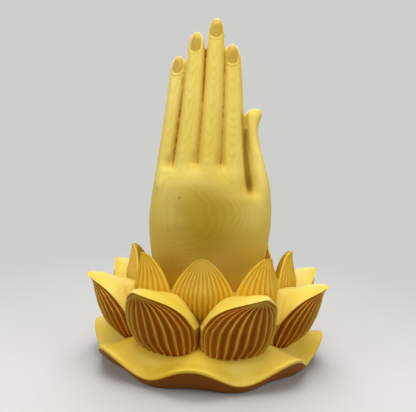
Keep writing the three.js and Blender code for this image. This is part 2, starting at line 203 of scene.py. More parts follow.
# Faces round and up each solid of the hand, before they run together
PALM_FACES = (120, 120)
FINGER_FACES = (48, 90)
WEB_FACES = (32, 60)
THUMB_FACES = (60, 90)
THUMB_WEB_FACES = (32, 40)

# How often parts of the skin are softened, and how far from a nail it has finer faces
BLEND_SOFTENING = 16
SKIN_SOFTENING = 3
NAIL_SOFTENING = 4
FINE_REACH = 3.0
NAIL_REACH = 2.5

# Skin between two fingers: height, depth below the fingers' backs, half width, and depth below
# their palm sides
WEB = [(106, 0.5, 3.2, 3), (111, 1.4, 3.2, 2.6), (114.5, 3.4, 3.2, 2.4), (129, 4.2, 2.8, 2.8),
       (146, 5, 2.2, 3.8), (160, 5.8, 1.7, 5.5), (164, 7, 1.2, 7)]

KNOT = (-19.4, 93.6)                        # a pin knot in the back of the hand: x, height
KNOT_REACH = 0.7
KNOT_SHADE = 0.7

# Creases of the palm side: depth, then the points (x, height) that a line runs through
CREASES = [
    (0.5, (-33, 116), (-19, 118)), (0.5, (-20, 119), (-9, 120)), (0.5, (-9, 120), (4, 119.5)),
    (0.5, (4.5, 118), (17, 116.5)), (0.4, (-31, 139), (-21, 140)), (0.4, (-20, 146), (-9, 147)),
    (0.4, (-8, 149), (4, 149)), (0.4, (3.5, 143), (15, 142)), (0.4, (-28, 158), (-20, 159)),
    (0.4, (-18, 168), (-9, 169)), (0.4, (-6.5, 174), (3.5, 174)), (0.4, (3.5, 164), (13, 163)),
    (0.6, (15, 103), (6, 101), (0, 94), (-1, 82), (4, 70), (12, 58)),
    (0.5, (15, 103), (4, 98), (-10, 91), (-24, 87)),
    (0.5, (-33, 97), (-22, 97), (-10, 101), (-4, 109)),
]
CREASE_SIDE = 3                             # creases are cut where y is more than this
CREASE_REACH = 0.8
CREASE_END = 2                              # nothing is cut further than this above or below a crease

# Each groove between two fingers: the scoop at its foot (x, height), and how dark the painted
# shade in its line is low down and near the fingertips
GROOVES = [((-26.1, 109.7), 0.8, 0.3), ((-11.4, 112.5), 0.3, 0.95), ((3.2, 111.9), 0.35, 0.4)]
GROOVE_SIDE = 3                             # grooves are cut where y is less than this
GROOVE_FOOT = (109, 115)                    # heights over which a groove comes
GROOVE_HEAD = (3, 8)                        # distances below the lower fingertip over which it comes
GROOVE_SHADE_REACH = (2.4, 4.2)                   # of its deeper painted shade, near the fingertips and low down
GROOVE_WIDENING = (152, 114)                # heights over which the first turns into the second
LINE_REACH = 0.8
LINE_TURN = (142, 166)                      # heights over which the line's shade changes
CHIP_SHADE = 0.4                            # painted shade that the knife's chips add along the line
SCOOP_REACH = 3.8
SCOOP_FOOT = (-0.6, 1.4)                    # heights above the scoop's place over which it comes
SCOOP_HEAD = (10, 2)                        # and, from above, over which it comes

# Groove beside the thumb, going up: height, x. Then its reach high up and low down, the heights
# between which it is full, its painted shade and its deeper painted shade
THUMB_GROOVE = [(95.5, 21), (105.2, 20.1), (122.6, 17.3), (146, 14.8)]
THUMB_GROOVE_REACH = (1.5, 2.4)
THUMB_GROOVE_WIDENING = (140, 105)
THUMB_GROOVE_FULL = (100, 140)
THUMB_GROOVE_SHADE = 0.2
THUMB_GROOVE_DEEP_SHADE = 0.6

NAIL_SIDE = 1                               # nails are cut where y is less than this
NAIL_MARGIN = 2                             # and nothing further than this from one
NAIL_GAP = 0.8                              # from a nail's end to the fingertip
NAIL_END_POWER = 2.6                        # 2 is a round end, more is a squarer one
NAIL_EDGE = (-0.4, 0.3)                     # distances inside the outline over which the cut comes
NAIL_FADE = (-0.3, 1.5)                     # distances below the end over which the tone comes
NAIL_CUT = (0.1, 0.5)                       # depths of cut over which the tone grows to the full one
NAIL_SHALLOW_TONE = 0.8                     # from this share of it
NAIL_SHADE = 0.25
FOLD_MIDDLE = 0.5                           # how far outside a nail's lower end its fold is highest
FOLD_REACH = 0.5
FOLD_BAND = (-0.3, 1.6)                     # and the distances between which it lies
FOLD_FULL = 0.35                            # it is full up to this share of the nail's half width

# Skin between the forefinger and the thumb: height, back of the hand, palm side
THUMB_WEB = [(92, -7, 6), (100, -6, 6), (112, -4.4, 6), (126, -2.2, 6), (136, -0.4, 6), (141, 1.5, 5),
             (142.5, 3, 4)]
THUMB_WEB_SIDES = (13.5, 22.5)

# Painted shade on the hand going up: height, share of the deeper painted shade, share of the painted
# shade colour
HAND_PAINTED_SHADE = [(34, 0, 0.42), (42, 0, 0.42), (50, 0.2, 0.3), (58, 0.55, 0.18), (66, 0.85, 0.08),
             (74, 1, 0.03), (82, 1, 0), (90, 1, 0), (98, 0.85, 0), (106, 0.4, 0), (114, 0.06, 0),
             (122, 0, 0), (200, 0, 0)]
SHADE_MIDDLE = (-4, 32)                      # x and reach of the deeper painted shade on the back of the hand
SHADE_WIDENING = (68, 50)                    # heights over which it spreads to the whole wrist
PALM_SHADE = 0.35                            # share of it that the palm side has
PALM_SHADE_FROM = (-6, 10)                   # y over which that comes

# Thumb, going up: height, inner x, outer x, back y, palm y
THUMB = [
    (66, 14, 31, -10, 16),
    (84, 16.5, 34, -13.4, 15),
    (94, 20.5, 34.3, -13, 13),
    (102, 22, 33.6, -11.6, 11.6),
    (112, 21.2, 31, -9.6, 10.2),
    (120, 20, 28.7, -8.2, 9.4),
    (128, 18.8, 26.6, -7, 8.6),
    (135.5, 17.8, 25.4, -6, 8),
    (140.5, 17.2, 26.4, -5.2, 7.6),
    (144, 17.2, 27.4, -4.4, 7),
    (146.6, 19.2, 27.3, -2.8, 5.6),
    (148, 21.8, 26.2, -1, 3.8),
]

# Figure of the wood, in metres, in a log whose pith runs along Z. A cloud is a noise's scale and
# detail
ACROSS_LOG = (1, 1, 0.03)                   # growth layers hardly change along the log
WANDER_CLOUD = (22, 4)
RING_WANDER = 0.007
FAINT_CLOUD = (45, 2)                       # where the growth layers are faint and where plain
STREAK_SCALE = (1100, 1100, 26)
STREAK_CLOUD = (1, 3)
STREAK_TONE = 0.2
STREAK_ROUGHNESS = 0.16
STREAK_RELIEF = 0.6
BROAD_CLOUD = (28, 2)
PATCH_CONTRAST = 1.5                        # between paler and more golden patches
DENT_CLOUD = (320, 1)
DENT_RELIEF = 1.5
RELIEF_STRENGTH = 0.35
RELIEF_HEIGHT = 0.00012
WAX_ROUGHNESS = 0.28
MIX_INPUTS = (0, 6, 7)                      # sockets of a mix node for its share and two colours
MIX_OUTPUT = 2

# Where a piece lies in its log (place, turn), how much of it is the deeper yellow, and how plain its
# growth layers are
LEAF_WOOD = ((0, 0, 0.3), (math.radians(82), 0, 0.4), 0.75, 0.25)
HAND_WOOD = ((-0.032, -0.2, 0), (math.radians(10), 0, 0), 0.15, 0.85)
HIDDEN_WOOD = ((0, 0.05, 0), (0, 0, 0), 0.4, 1.0)

# The same for a ring of petals: the first one's place, the step to the next one's, their lean, and
# how much is the deeper yellow
PETAL_WOOD = {
    "outer": ((0, 0.12, 0), (0.01, 0, 0.03), (0.3, 0.2), 0.45),
    "inner": ((0, 0.1, 0), (0.013, 0, 0.02), (0.1, 0.1), 0.95),
}
PETAL_LAYERING = 0.35

# Lamps: name, place, size, the setting that holds its power, and the height that it is aimed at
LAMPS = [
    ("key", (-0.03, -0.25, 0.54), 0.34, "key_light", 0.11),
    ("top", (0, 0.05, 1.1), 0.9, "top_light", 0.08),
    ("back", (0, 0.5, 0.45), 0.5, "back_light", 0.08),
    ("left", (-0.45, -0.35, 0.24), 0.4, "side_light", 0.1),
    ("right", (0.45, -0.35, 0.24), 0.4, "side_light", 0.1),
]
SOFT_LIGHT = (1, 0.97, 0.9, 1)
FLOOR_SIZE = 3
FLOOR_DROP = 0.0002                         # so that the leaf's underside and the floor never meet
FLOOR_ROUGHNESS = 0.9
FLOOR_SHEEN = 0.1
SENSOR = 36
PICTURE_SHIFT = (-0.012, -0.024)            # the picture is a little off the camera's own middle
NEAREST_SEEN = 0.01


# Numbers along a table, and shapes of carved marks

def lerp(a, b, share):
    return a + (b - a) * share


def clamp(value, low=0.0, high=1.0):
    return max(low, min(high, value))


def smooth_step(low, high, value):
    x = clamp((value - low) / (high - low))
    return x * x * (3 - 2 * x)


def along(table, share):
    """The table's row at a share of its length, on a smooth curve through every row."""
    place = clamp(share) * (len(table) - 1)
    k = min(int(place), len(table) - 2)
    x = place - k
    rows = [table[clamp(k + d, 0, len(table) - 1)] for d in (-1, 0, 1, 2)]
    if not isinstance(rows[0], tuple):
        return curve(*rows, x)
    return tuple(curve(*values, x) for values in zip(*rows))


def curve(before, a, b, after, x):
    lean_a, lean_b = (b - before) / 2, (after - a) / 2
    return (a + lean_a * x + (3 * (b - a) - 2 * lean_a - lean_b) * x ** 2
            + (lean_a + lean_b - 2 * (b - a)) * x ** 3)


def share_at(table, height, column=0):
    """The share of a rising table's length at which a column reaches a height."""
    for k in range(len(table) - 1):
        low, high = table[k][column], table[k + 1][column]
        if height <= high:
            return (k + clamp((height - low) / (high - low))) / (len(table) - 1)
    return 1.0


def straight_at(table, height):
    """The second column of a rising table at a height, on straight lines from row to row."""
    for (low, first), (high, second) in zip(table, table[1:]):
        if height <= high:
            break
    return lerp(first, second, clamp((height - low) / (high - low)))


def hill(*away):
    """1 in the middle of a mark, and less the further away, given in units of its reach."""
    return math.exp(-sum(distance ** 2 for distance in away))


def flute(share, flutes, crest):
    """How deep in its flute a share of the width lies: 0 on a crest, 1 in the middle."""
    within = abs(2 * ((share * flutes) % 1.0) - 1) / (1 - crest)
    return 1 - min(1.0, within) ** FLUTE_POWER


def round_tip(share, length):
    """How wide a petal still is at a share of its height, when its tip closes over a length."""
    return math.sqrt(1 - (1 - clamp((1 - share) / length)) ** 2)


# Meshes

def marks_of(bm, name):
    """The layer that holds how strong a mark is at each corner of a mesh."""
    layers = bm.verts.layers.float
    return layers.get(name) or layers.new(name)


def place_grid(bm, across, rows, place):
    """A sheet of faces; place gives each corner's point and how much painted shade lies there."""
    # the carved mark holds the painted shade at each corner
    carved = marks_of(bm, "carved")
    sheet = bmesh.ops.create_grid(bm, x_segments=across, y_segments=rows, size=0.5)["verts"]
    for vert in sheet:
        point, depth = place(vert.co.x + 0.5, vert.co.y + 0.5)
        vert.co = point
        vert[carved] = depth


def close_up(bm, merge):
    """Sews sheets together where they meet and fills what is still open."""
    bmesh.ops.remove_doubles(bm, verts=bm.verts, dist=merge)
    bmesh.ops.dissolve_degenerate(bm, edges=bm.edges, dist=merge / 10)
    bmesh.ops.holes_fill(bm, edges=[e for e in bm.edges if e.is_boundary], sides=0)
    bmesh.ops.recalc_face_normals(bm, faces=bm.faces)


def soften(verts, bm, times):
    """Evens out a part of a mesh."""
    for _ in range(times):
        bmesh.ops.smooth_vert(bm, verts=verts, factor=0.5, use_axis_x=True, use_axis_y=True,
                              use_axis_z=True)


def mesh_object(bm, name):
    mesh = bpy.data.meshes.new(name)
    bm.to_mesh(mesh)
    bm.free()
    mesh.shade_smooth()
    piece = bpy.data.objects.new(name, mesh)
    bpy.context.scene.collection.objects.link(piece)
    return piece


def finish_piece(bm, name, material, node):
    """Turns a mesh in millimetres into a piece that stands for its node."""
    bmesh.ops.scale(bm, vec=(MM, MM, MM), verts=bm.verts)
    piece = mesh_object(bm, name)
    piece.data.materials.append(material)
    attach(piece, "root")
    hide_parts(node)


# Petals, in their own frame: x outwards, y across, z up

def outer_rim(share):
    """Half width, radius and height of the rim at a share of the way up."""
    half_width, radius, height = along(OUTER_RIM, share)
    length, tip_width = OUTER_TIP
    return math.hypot(half_width, tip_width) * round_tip(share, length), radius, height


def outer_face(across, up, settings):
    """The fluted face: a round belly from rim to rim, sunk below a plump lip above the valley."""
    half_width, rim_radius, rim_height = outer_rim(up)
    spine_radius, spine_height = along(OUTER_SPINE, up)
    belly = spine_radius - rim_radius
    turn = (across - 0.5) * math.pi
    wide = half_width * math.sin(turn)
    bulge = belly * math.cos(turn)
    height = lerp(rim_height, spine_height, math.cos(turn))
    girth = math.pi * math.sqrt((half_width ** 2 + belly ** 2) / 2)
    lipped = smooth_step(*LIP_RISE, up)
    band = min(0.5, lipped * settings.lip_width / max(girth, 0.1))
    from_rim = min(across, 1 - across)
    if from_rim > band:
        depth = flute((across - band) / (1 - 2 * band), settings.flutes, settings.crest)
        strength = max(0.0, along(OUTER_DEPTH, up))
        shallow = smooth_step(*FLUTE_ROOM, 0.5 - band)
        from_lip = (from_rim - band) * girth
        below = lipped * smooth_step(*LIP_EDGE, from_lip)
        cut = depth * strength * settings.flute_depth * shallow
        cut += settings.lip_step * below * smooth_step(*STEP_ROOM, 0.5 - band)
        # painted shade in the flutes, painted shadow under the lip, and painted shade at the root
        shade = (CREST_SHADE + FLUTE_SHADE * depth) * min(1, strength) * shallow
        shade += LIP_SHADE * below * smooth_step(*LIP_SHADE_REACH, from_lip)
        shade += ROOT_SHADE * depth * smooth_step(*ROOT_SHADE_REACH, height)
    else:
        cut = -settings.lip_swell * lipped * math.sin(math.pi * from_rim / max(band, 1e-6))
        shade = 0.0
    reach = math.hypot(wide, bulge)
    pull = 1 - cut / reach if reach > UNCUT_REACH else 1
    return (rim_radius + bulge * pull, wide * pull, height), clamp(shade)


def roof(ridge, edge, side):
    """Height of a rounded top, at a place from -1 to 1 across it."""
    return lerp(ridge, edge, abs(side) ** TOP_POWER)


def outer_top(across, back):
    """The smooth top from the tip back to the valley between two petals."""
    half_width, radius, edge = outer_rim(lerp(1, VALLEY, back))
    side = 2 * across - 1
    return (radius, half_width * side, roof(along(OUTER_RIDGE, 1 - back), edge, side)), 0.0


def shoulder(back, half_width, radius):
    """Radius and half width of a petal's side behind its rim, from the rim to the core."""
    if back < 0.5:
        share = 2 * back
        return lerp(radius, OUTER_SHOULDER, share), lerp(half_width, OUTER_SHOULDER * WEDGE, share)
    radius = lerp(OUTER_SHOULDER, OUTER_FLAT, 2 * back - 1)
    return radius, radius * WEDGE


def outer_shelf(across, back):
    """The top's inner part, behind the valley, up to the core."""
    rim_width, rim_radius, edge = VALLEY_RIM
    radius, half_width = shoulder(back, rim_width, rim_radius)
    side = 2 * across - 1
    return (radius, half_width * side, roof(along(OUTER_BACK, back), edge, side)), 0.0


def outer_side(back, up, sign):
    """A side wall under the shelf, from the rim to the core."""
    rim_width, rim_radius, height = outer_rim(VALLEY * up)
    radius, half_width = shoulder(back, rim_width, rim_radius)
    # painted shade on the side wall, darkest at its foot
    return (radius, sign * half_width, height), lerp(*SIDE_SHADE, up)


def outer_back(across, up):
    """The flat that stands against the core."""
    side = 2 * across - 1
    low, edge = OUTER_RIM[0][2], VALLEY_RIM[2]
    share = (outer_rim(VALLEY * up)[2] - low) / (edge - low)
    top = roof(OUTER_BACK[-1], edge, side)
    return (OUTER_FLAT, OUTER_FLAT * WEDGE * side, lerp(low, top, share)), 0.0


def from_outer_rim(point):
    """How far a point lies from the rim at its own height."""
    half_width, radius, height = outer_rim(share_at(OUTER_RIM, point.z, 2))
    return math.dist(point, (radius, math.copysign(half_width, point.y), height))


def outer_petal(settings):
    bm = bmesh.new()
    columns = settings.petal_columns
    rows = OUTER_SPANS * settings.petal_rows
    low_rows = OUTER_VALLEY * settings.petal_rows
    place_grid(bm, columns, rows, lambda u, v: outer_face(u, v, settings))
    place_grid(bm, columns, rows - low_rows, outer_top)
    place_grid(bm, columns, SHELF_ROWS, outer_shelf)
    place_grid(bm, columns, low_rows, outer_back)
    for sign in (-1, 1):
        place_grid(bm, SHELF_ROWS, low_rows, lambda u, v, sign=sign: outer_side(u, v, sign))
    close_up(bm, PETAL_SEAM)
    near_lip = [v for v in bm.verts if from_outer_rim(v.co) < settings.lip_round]
    soften(near_lip, bm, LIP_SOFTENING)
    return bm


def lean_sideways(bm, lean):
    """Leans a petal, more towards its tip, and leaves its root and the part by the core alone."""
    for vert in bm.verts:
        up = clamp((vert.co.z - LEAN_FOOT[0]) / (LEAN_HEAD[0] - LEAN_FOOT[0]))
        vert.co.y += lean * up ** 2 * smooth_step(LEAN_FOOT[1], LEAN_HEAD[1], vert.co.x)


def inner_rim(up):
    """The same for an inner petal."""
    half_width, radius, height = along(INNER_RIM, up)
    return half_width * round_tip(up, INNER_TIP), radius, height


def inner_face(across, up, settings):
    """The ribbed face: keeled in the middle, and sunk below a plain rim."""
    half_width, rim_radius, rim_height = inner_rim(up)
    spine_radius, spine_height = along(INNER_SPINE, up)
    side = 2 * across - 1
    out = 1 - abs(side) ** settings.keel
    band = settings.rim_band / (2 * max(half_width, RIM_NARROW))
    inside = (across - band) / (1 - 2 * band)
    strength = max(0.0, along(INNER_DEPTH, up)) * settings.rib_depth
    depth = 0.0
    cut = 0.0
    if 0 < inside < 1:
        from_band = min(inside, 1 - inside)
        depth = ((1 - math.cos(2 * math.pi * inside * settings.ribs)) / 2) ** RIB_POWER
        cut = depth * strength * smooth_step(*RIB_EDGE, from_band)
        cut += settings.rim_step * smooth_step(*RIM_EDGE, from_band) * smooth_step(*RIM_TIP, 1 - up)
    slope = math.atan2(spine_radius - rim_radius, max(half_width, 1))
    x = lerp(rim_radius, spine_radius, out) - cut * math.cos(slope)
    y = half_width * side * (1 - RIB_CLOSING * cut / max(half_width, 2))
    # painted shade over the ribbed face, darker in the grooves between the ribs
    shade = RIB_SHADE + settings.painted_rib_shade * depth * strength
    return (x, y, lerp(rim_height, spine_height, out)), shade


def inner_back(across, up, settings):
    """The smooth back, from the far rim to the near one."""
    half_width, rim_radius, rim_height = inner_rim(up)
    spine_radius, _ = along(INNER_SPINE, up)
    side = 1 - 2 * across
    out = 1 - abs(side) ** INNER_BACK_POWER
    rim = rim_radius - min(settings.rim_thickness, rim_radius - INNER_FLAT)
    x = lerp(rim, spine_radius - along(INNER_THICKNESS, up), out)
    return (x, max(half_width - INNER_BEVEL, 0) * side, rim_height), 0.0


def inner_ring(around, up, settings):
    """A ring round an inner petal: across its ribbed face, and back across its smooth back."""
    if round(around, 3) == 1:               # the ring closes where it starts
        around = 0.0
    if around <= FRONT_SHARE:
        return inner_face(around / FRONT_SHARE, up, settings)
    return inner_back((around - FRONT_SHARE) / (1 - FRONT_SHARE), up, settings)


def inner_petal(settings):
    bm = bmesh.new()
    place_grid(bm, settings.petal_columns * 3 // 2, OUTER_SPANS * settings.petal_rows,
               lambda u, v: inner_ring(u, v, settings))
    close_up(bm, PETAL_SEAM)
    return bm


# Leaf

def leaf_point(turn, share):
    crest_radius, crest_height, trough_radius, trough_height, offset = along(LEAF_PROFILE, share)
    trough = (1 - math.cos(PETALS * turn)) / 2
    radius = max(0.0, lerp(crest_radius, trough_radius, trough))
    angle = turn + FIRST_INNER
    x = radius * math.cos(angle) + offset * LEAF_OFFSET[0]
    y = radius * math.sin(angle) + offset * LEAF_OFFSET[1]
    height = max(0.0, lerp(crest_height, trough_height, trough))
    # painted shade under the rim
    under_rim = smooth_step(*LEAF_SHADE_IN, share) * smooth_step(*LEAF_SHADE_OUT, share)
    return (x, y, height), LEAF_SHADE * under_rim


# Hand

def rounded(around, left, right, back, front):
    """The point at a share of the way round a rounded outline between four sides."""
    angle = 2 * math.pi * around
    across, deep = math.cos(angle), math.sin(angle)
    across = math.copysign(abs(across) ** (2 / SQUARENESS), across)
    deep = math.copysign(abs(deep) ** (2 / SQUARENESS), deep)
    return (left + right + across * (right - left)) / 2, (back + front + deep * (front - back)) / 2


def palm_point(around, up):
    height, left, right, back, front = along(PALM, up)
    x, y = rounded(around, left, right, back, front)
    middle = (back + front) / 2
    facing = max(0.0, (y - middle) / (front - middle))
    for swell, at_x, at_z, reach_x, reach_z in MOUNDS:
        y += facing * swell * hill((x - at_x) / reach_x, (height - at_z) / reach_z)
    return (x, y, height), 0.0


def finger_section(finger, height):
    """Middle and half sizes of a finger at a height."""
    knuckle, tip, top, width, depth, _ = finger
    distance = max(top - height, 0.0)
    down = distance / (top - KNUCKLE)
    bow = 4 * FINGER_BOW * down * max(0.0, 1 - down)
    inner, outer = TIP_ROUNDING
    rounding = (1 - (1 - min(distance / TIP_LENGTH, 1)) ** inner) ** outer
    grown = min(down, 1) ** FINGER_TAPER
    half_width = lerp(TIP_HALF_WIDTH, width, grown) * rounding
    half_depth = lerp(TIP_HALF_DEPTH, depth, grown) * rounding
    return lerp(tip[0], knuckle[0], down) + bow, lerp(tip[1], knuckle[1], down), half_width, half_depth


def run_out(height):
    """How much further back the fingers reach where they run into the palm below the knuckles."""
    return KNUCKLE_SLOPE * max(0.0, KNUCKLE - height)


def finger_point(around, up, finger):
    top = finger[2]
    height = top - (top - FINGER_ROOT) * (1 - up) ** FINGER_CROWDING
    x, y, half_width, half_depth = finger_section(finger, height)
    back = y - half_depth - run_out(height)
    ring = rounded(around, x - half_width, x + half_width, back, y + half_depth)
    return (*ring, height), 0.0


def between(left, right, height):
    """Where two fingers meet, with the middle of their backs and of their palm sides."""
    left_x, left_y, left_width, left_depth = finger_section(left, height)
    right_x, right_y, right_width, right_depth = finger_section(right, height)
    x = (left_x + left_width + right_x - right_width) / 2
    back = (left_y - left_depth + right_y - right_depth) / 2
    return x, back, (left_y + left_depth + right_y + right_depth) / 2


def web_point(around, up, left, right):
    """The floor between two fingers, which keeps the groove shallow near the knuckles."""
    height, depth, half_width, palm_depth = along(WEB, up)
    x, back, palm = between(left, right, height)
    back += depth - run_out(height)
    ring = rounded(around, x - half_width, x + half_width, back, palm - palm_depth)
    return (*ring, height), 0.0


def thumb_point(around, up):
    height, inner, outer, back, palm = along(THUMB, up)
    return (*rounded(around, inner, outer, back, palm), height), 0.0


def thumb_web_point(around, up):
    height, back, palm = along(THUMB_WEB, up)
    return (*rounded(around, *THUMB_WEB_SIDES, back, palm), height), 0.0


def hand_blank(settings):
    """Palm, fingers and thumb as overlapping solids, run together into one skin."""
    bm = bmesh.new()
    place_grid(bm, *PALM_FACES, palm_point)
    for finger in FINGERS:
        place_grid(bm, *FINGER_FACES, lambda u, v, finger=finger: finger_point(u, v, finger))
    for left, right in zip(FINGERS, FINGERS[1:]):
        place_grid(bm, *WEB_FACES, lambda u, v, left=left, right=right: web_point(u, v, left, right))
    place_grid(bm, *THUMB_FACES, thumb_point)
    place_grid(bm, *THUMB_WEB_FACES, thumb_web_point)
    close_up(bm, SEAM)
    blank = mesh_object(bm, "hand_blank")
    remesh = blank.modifiers.new("one_skin", "REMESH")
    remesh.mode = "VOXEL"
    remesh.voxel_size = settings.voxel
    joined = bmesh.new()
    joined.from_object(blank, bpy.context.evaluated_depsgraph_get())
    bpy.data.objects.remove(blank)
    return joined


def carve_hand(bm, settings):
    """Softens the skin and cuts the grooves, creases and nails into it."""
    # carved holds painted shade, plus the darker colour of the knot and nails; toned holds the deeper
    # painted shade
    carved = marks_of(bm, "carved")
    toned = marks_of(bm, "toned")
    low, high = settings.blend_heights
    soften([v for v in bm.verts if low < v.co.z < high], bm, BLEND_SOFTENING)
    soften(bm.verts, bm, SKIN_SOFTENING)
    fine = {v for v in bm.verts if near_nail(v.co, FINE_REACH)}
    edges = [e for e in bm.edges if e.verts[0] in fine and e.verts[1] in fine]
    bmesh.ops.subdivide_edges(bm, edges=edges, cuts=1, use_grid_fill=True)
    nails = [v for v in bm.verts if near_nail(v.co, NAIL_REACH)]
    soften(nails, bm, NAIL_SOFTENING)
    for vert in bm.verts:
        depth, shade, tone = groove(vert.co, settings)
        crease = crease_depth(vert.co)
        vert.co.y += depth - crease
        # painted shade: deeper on the back of the hand below the knuckles, and at the wrist down in the
        # lotus
        deep, wrist = painted_hand_shade(vert.co)
        # the creases and the finger grooves take the deeper painted shade too
        vert[toned] = clamp(settings.painted_back_shade * deep + tone + crease)
        # painted shade of the lines and hollows and at the wrist, and the knot's own darker colour
        vert[carved] = clamp(shade + knot_shade(vert.co) + settings.painted_wrist_shade * wrist)
    for vert in nails:
        carve_nail(vert, carved, toned, settings)


def near_nail(point, reach):
    """Whether a point of the skin is on a nail or within reach of one."""
    if point.y >= NAIL_SIDE:
        return False
    return any(point.z > low - reach and abs(point.x - (middle + tip[0]) / 2) < half + reach
               for _, tip, _, _, _, (middle, low, half, _) in FINGERS)


def painted_hand_shade(point):
    """The share of the deeper painted shade at a point of the hand, and how much painted shade the wrist
    has there.
    """
    x, y, z = point
    _, deep, wrist = along(HAND_PAINTED_SHADE, share_at(HAND_PAINTED_SHADE, z))
    middle, reach = SHADE_MIDDLE
    deep *= lerp(hill((x - middle) / reach), 1, smooth_step(*SHADE_WIDENING, z))
    return deep * lerp(1, PALM_SHADE, smooth_step(*PALM_SHADE_FROM, y)), wrist


def knot_shade(point):
    """How dark the pin knot in the back of the hand is at a point."""
    away = math.hypot(point.x - KNOT[0], point.z - KNOT[1])
    return KNOT_SHADE * hill(away / KNOT_REACH) if point.y < 0 else 0.0


def groove(point, settings):
    """How deep the back of the hand is cut at a point, its painted shade, and its deeper painted shade.
    """
    total = Vector((0, 0, 0))
    if point.y < GROOVE_SIDE:
        for left, right, marks in zip(FINGERS, FINGERS[1:], GROOVES):
            total += finger_groove(point, left, right, marks, settings)
        total += thumb_groove(point, settings)
    return total


def finger_groove(point, left, right, marks, settings):
    """The knife line and the painted shade between two fingers, and the scoop at their foot."""
    x, _, z = point
    tip = min(left[2], right[2])
    if not GROOVE_FOOT[0] < z < tip - GROOVE_HEAD[0]:
        return Vector((0, 0, 0))
    (scoop_x, scoop_z), low_line, high_line = marks
    away = abs(x - between(left, right, z)[0])
    wide = max(0.0, 1 - away / lerp(*GROOVE_SHADE_REACH, smooth_step(*GROOVE_WIDENING, z)))
    narrow = max(0.0, 1 - away / LINE_REACH)
    ends = smooth_step(*GROOVE_FOOT, z) * smooth_step(*GROOVE_HEAD, tip - z)
    chip = noise.noise((left[2], 0, z * settings.chatter_pitch))
    line = lerp(low_line, high_line, smooth_step(*LINE_TURN, z))
    depth = ends * narrow * (settings.finger_groove * line + settings.chatter * chip)
    in_scoop = max(0.0, 1 - ((x - scoop_x) / SCOOP_REACH) ** 2)
    in_scoop *= smooth_step(*SCOOP_FOOT, z - scoop_z) * smooth_step(*SCOOP_HEAD, z - scoop_z)
    # painted shade in the line, and the deeper painted shade across the groove
    shade = ends * narrow * clamp(line + CHIP_SHADE * chip)
    return Vector((depth + settings.scoop * in_scoop, shade, settings.painted_groove_shade * ends * wide))


def thumb_groove(point, settings):
    """The hollow between the forefinger and the thumb, which runs down into the palm."""
    x, _, z = point
    (foot, _), (head, _) = THUMB_GROOVE[0], THUMB_GROOVE[-1]
    if not foot <= z < head:
        return Vector((0, 0, 0))
    full_from, full_to = THUMB_GROOVE_FULL
    reach = lerp(*THUMB_GROOVE_REACH, smooth_step(*THUMB_GROOVE_WIDENING, z))
    inside = max(0.0, 1 - ((x - straight_at(THUMB_GROOVE, z)) / reach) ** 2)
    inside *= smooth_step(foot, full_from, z) * smooth_step(head, full_to, z)
    # painted shade and deeper painted shade in the hollow
    return inside * Vector((settings.thumb_groove, THUMB_GROOVE_SHADE, THUMB_GROOVE_DEEP_SHADE))


def crease_depth(point):
    """How deep the creases of the palm side are at a point."""
    x, y, z = point
    total = 0.0
    if y < CREASE_SIDE:
        return total
    for depth, *line in CREASES:
        for (from_x, from_z), (to_x, to_z) in zip(line, line[1:]):
            if not min(from_z, to_z) - CREASE_END < z < max(from_z, to_z) + CREASE_END:
                continue
            run_x, run_z = to_x - from_x, to_z - from_z
            share = clamp(((x - from_x) * run_x + (z - from_z) * run_z) / (run_x ** 2 + run_z ** 2))
            away = math.hypot(x - from_x - share * run_x, z - from_z - share * run_z)
            total = max(total, depth * hill(away / CREASE_REACH))
    return total


def nail_half_width(up, half, length):
    """Half the width of a nail at a distance above its lower end."""
    if up <= 0:
        return 0.0
    if up < half:
        return half * math.sqrt(1 - (1 - up / half) ** 2)
    return half * math.sqrt(max(0.0, 1 - ((up - half) / (length - half)) ** NAIL_END_POWER))


def carve_nail(vert, carved, toned, settings):
    """Cuts a flat nail into a fingertip, with a step at its lower end and a fold below that."""
    x, y, z = vert.co
    for finger in FINGERS:
        _, tip, finger_top, _, _, (middle, low, half, roll) = finger
        length = finger_top - NAIL_GAP - low
        up = z - low
        away = x - lerp(middle, tip[0], clamp(up / length))
        if abs(away) > half + NAIL_MARGIN or not -NAIL_MARGIN < up < length + NAIL_MARGIN:
            continue
        _, centre, _, half_depth = finger_section(finger, low)
        plate = centre - half_depth + settings.nail_depth + settings.nail_lean * up
        plate += away ** 2 / settings.nail_curve + away * math.tan(math.radians(roll))
        edge = nail_half_width(up, half, length) - abs(away)
        inside = smooth_step(*NAIL_EDGE, edge) if 0 < up < length - NAIL_FADE[0] else 0.0
        cut = max(0.0, plate - y) * inside
        plain = settings.nail_tone * inside * lerp(NAIL_SHALLOW_TONE, 1, smooth_step(*NAIL_CUT, cut))
        plain *= smooth_step(*NAIL_FADE, length - up)
        vert.co.y += cut
        vert[toned] = max(vert[toned], plain)
        vert[carved] = max(vert[carved], NAIL_SHADE * plain)
        below = math.hypot(away, min(0.0, up - half)) - half
        if up < half and FOLD_BAND[0] < below < FOLD_BAND[1]:
            fold = hill((below - FOLD_MIDDLE) / FOLD_REACH) * smooth_step(half, FOLD_FULL * half, up)
            vert.co.y -= settings.cuticle * fold


# Wood

def add_node(tree, kind, inputs, **values):
    """A node with its own values, and with inputs that are numbers, colours or other sockets."""
    made = tree.nodes.new(kind)
    for key, value in values.items():
        setattr(made, key, value)
    for key, value in inputs.items():
        if isinstance(value, bpy.types.NodeSocket):
            tree.links.new(value, made.inputs[key])
        else:
            made.inputs[key].default_value = value
    return made


def opaque(colour):
    """A setting's colour as a shader socket takes it."""
    return *colour, 1


